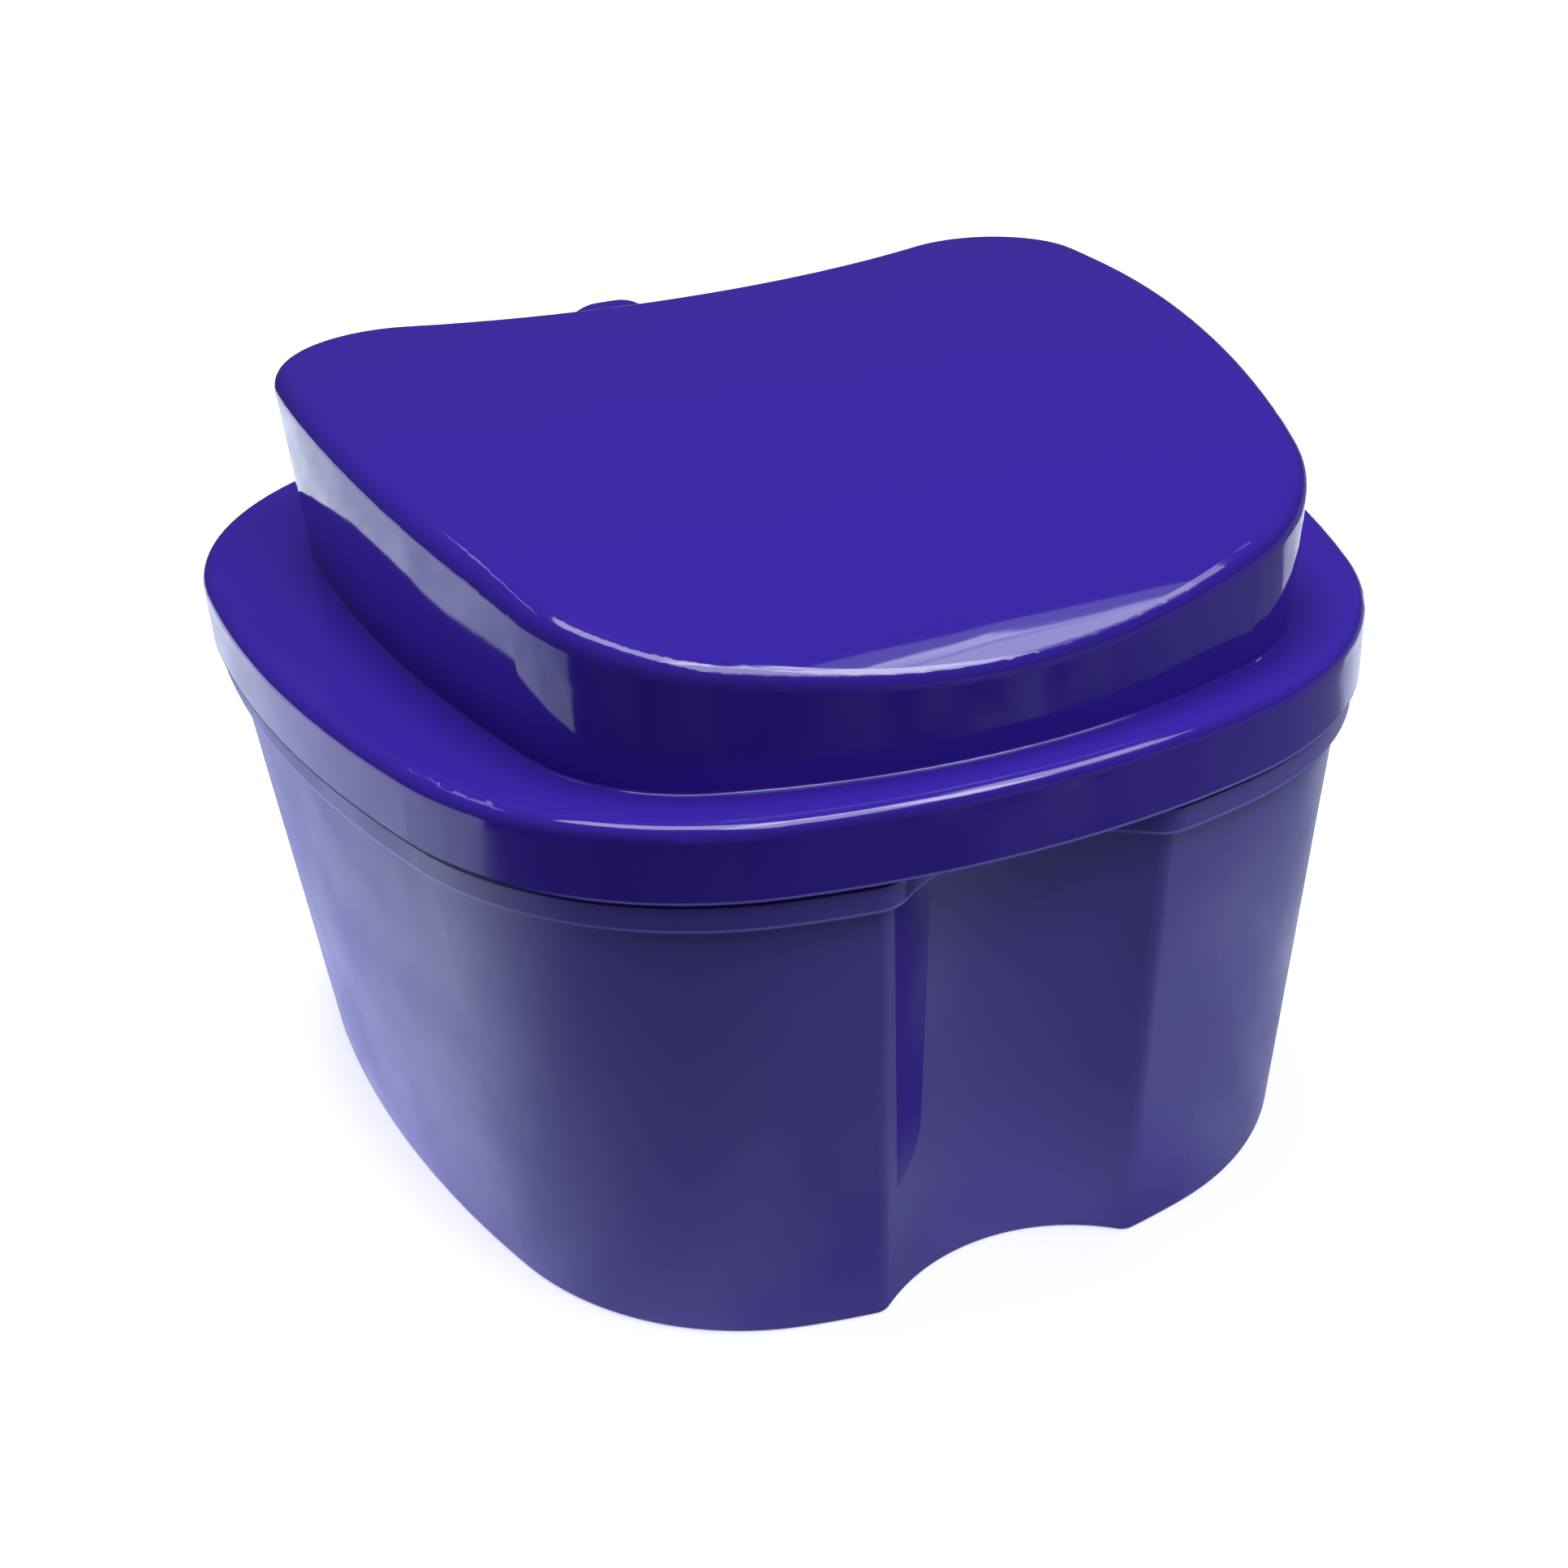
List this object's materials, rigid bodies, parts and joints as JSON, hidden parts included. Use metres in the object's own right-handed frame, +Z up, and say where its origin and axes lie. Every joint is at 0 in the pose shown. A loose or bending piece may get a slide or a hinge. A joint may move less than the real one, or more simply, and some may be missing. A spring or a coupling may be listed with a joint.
{
  "type": "denture case",
  "caption": "Denture bath with a tapered tub, a finger scoop, a hinged lid with a hollow dome, and a lift-out strainer basket with a bail handle.",
  "frame": {"origin": "on the table under the middle of the lid's outline, on the flat underside of the tub", "axes": "+Z up, +Y towards the hinge at the back, -Y towards the finger scoop at the front, +X to the right seen from the front"},
  "size_m": [0.097, 0.1016, 0.0669],
  "materials": {
    "tub_plastic": "satin",
    "lid_plastic": "high gloss",
    "pin_plastic": "satin",
    "basket_plastic": "satin",
    "handle_plastic": "satin"
  },
  "bodies": {
    "tub_body": {"tub": "tub_plastic", "hinge_pin": "pin_plastic"},
    "lid_body": {"lid": "lid_plastic"},
    "basket_body": {"strainer_basket": "basket_plastic"},
    "handle_body": {"basket_handle": "handle_plastic"}
  },
  "joints": [
    {"name": "lid_hinge", "type": "hinge", "parent": "tub_body", "child": "lid_body", "pos_m": [0, 0.0512, 0.043], "axis": [-1, 0, 0], "range_deg": [0, 150]},
    {"name": "basket_lift", "type": "slide", "parent": "tub_body", "child": "basket_body", "axis": [0, 0, 1], "range_m": [0, 0.045]},
    {"name": "handle_swing", "type": "hinge", "parent": "basket_body", "child": "handle_body", "pos_m": [0, 0.012, 0.0438], "axis": [-1, 0, 0], "range_deg": [0, 90]}
  ],
  "couplings": [
    {"joint": "basket_lift", "follows": "lid_hinge", "m_per_rad": 0.017}
  ]
}
